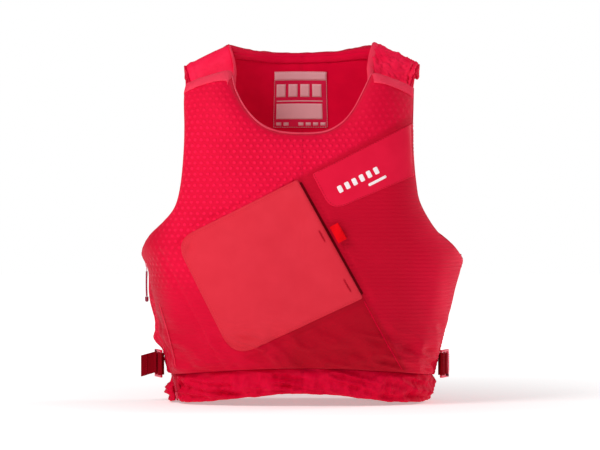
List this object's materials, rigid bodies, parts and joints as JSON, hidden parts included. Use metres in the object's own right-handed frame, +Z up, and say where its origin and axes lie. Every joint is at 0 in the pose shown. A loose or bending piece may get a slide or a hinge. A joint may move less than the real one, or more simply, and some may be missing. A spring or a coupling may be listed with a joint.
{
  "type": "life jacket",
  "caption": "Pull-over foam buoyancy vest with a side zip, shoulder straps, a slanted chest pocket with a pull tab, and a waist belt with ladder locks.",
  "frame": {"origin": "centre of the outline on the plane that the hem stands on", "axes": "+X to the right as seen from the front (the closed side), -X the zip side, -Y the front, +Z up towards the shoulders"},
  "size_m": [0.4308, 0.2699, 0.4775],
  "materials": {
    "embossed_fabric": "matte",
    "hem_fabric": "matte",
    "foam": "matte",
    "liner": "matte",
    "binding": "matte",
    "hook_and_loop": "matte",
    "elastic": "matte",
    "pocket_laminate": "satin",
    "patch_film": "matte",
    "label_print": "matte",
    "tab_webbing": "matte",
    "zip_tape": "matte",
    "zip_coil": "satin",
    "zip_metal": "satin",
    "cord": "matte",
    "cord_end": "matte",
    "webbing": "matte",
    "buckle_plastic": "satin"
  },
  "bodies": {
    "vest": {"front_cover": "embossed_fabric", "front_foam": "foam", "front_liner": "liner", "back_cover": "embossed_fabric", "back_foam": "foam", "back_liner": "liner", "side_gusset": "embossed_fabric", "front_neck_binding": "binding", "back_neck_binding": "binding", "left_front_armhole_binding": "binding", "left_tongue_facing": "binding", "left_back_armhole_binding": "binding", "left_shoulder_strap": "embossed_fabric", "left_strap_hook_pad": "hook_and_loop", "left_tongue_loop_pad": "hook_and_loop", "right_front_armhole_binding": "binding", "right_tongue_facing": "binding", "right_back_armhole_binding": "binding", "right_shoulder_strap": "embossed_fabric", "right_strap_hook_pad": "hook_and_loop", "right_tongue_loop_pad": "hook_and_loop", "front_hem": "hem_fabric", "back_hem": "hem_fabric", "front_hem_elastic": "elastic", "back_hem_elastic": "elastic", "pocket_lining": "liner", "pocket_loop_strip": "hook_and_loop", "pocket_hook_strip": "hook_and_loop", "pocket_panel": "pocket_laminate", "chest_patch": "patch_film", "neck_label": "label_print", "front_zip_tape": "zip_tape", "back_zip_tape": "zip_tape", "front_zip_coil": "zip_coil", "back_zip_coil": "zip_coil", "zip_guard": "liner", "zip_retainer_box": "zip_coil", "back_waist_belt": "webbing", "right_belt_keeper": "webbing", "left_belt_keeper": "webbing", "left_anchor_tab": "webbing", "right_anchor_tab": "webbing"},
    "zip_slider_body": {"zip_slider": "zip_metal"},
    "zip_pull": {"zip_puller": "zip_metal", "zip_pull_cord": "cord", "zip_cord_end": "cord_end"},
    "pocket_tab": {"pocket_pull_tab": "tab_webbing"},
    "left_lock": {"left_ladder_lock": "buckle_plastic", "left_belt_wrap": "webbing"},
    "left_tail": {"left_belt_tail": "webbing"},
    "right_lock": {"right_ladder_lock": "buckle_plastic", "right_belt_wrap": "webbing"},
    "right_tail": {"right_belt_tail": "webbing"}
  },
  "joints": [
    {"name": "zip_slider_travel", "type": "slide", "parent": "vest", "child": "zip_slider_body", "axis": [0.209, -0.1251, -0.9699], "range_m": [0, 0.16]},
    {"name": "zip_pull_swing", "type": "hinge", "parent": "zip_slider_body", "child": "zip_pull", "pos_m": [-0.20588, 0.0006, 0.18319], "axis": [0, 1, 0], "range_deg": [-6, 140]},
    {"name": "pocket_tab_flip", "type": "hinge", "parent": "vest", "child": "pocket_tab", "pos_m": [0.04098, -0.13139, 0.22467], "axis": [0.4822, 0.0185, -0.8759], "range_deg": [-18, 50], "stiffness_Nm_per_rad": 0.002},
    {"name": "left_lock_swing", "type": "hinge", "parent": "vest", "child": "left_lock", "pos_m": [-0.1874, 0.011, 0.05], "axis": [0, 0, 1], "range_deg": [-4, 35], "stiffness_Nm_per_rad": 0.004},
    {"name": "left_tail_flap", "type": "hinge", "parent": "left_lock", "child": "left_tail", "pos_m": [-0.19367, 0.0185, 0.05], "axis": [0, 0, 1], "range_deg": [-45, 20], "stiffness_Nm_per_rad": 0.002},
    {"name": "right_lock_swing", "type": "hinge", "parent": "vest", "child": "right_lock", "pos_m": [0.185, 0.006, 0.05], "axis": [0, 0, -1], "range_deg": [-4, 35], "stiffness_Nm_per_rad": 0.004},
    {"name": "right_tail_flap", "type": "hinge", "parent": "right_lock", "child": "right_tail", "pos_m": [0.19781, 0.03007, 0.05], "axis": [0, 0, -1], "range_deg": [-8, 60], "stiffness_Nm_per_rad": 0.002}
  ]
}
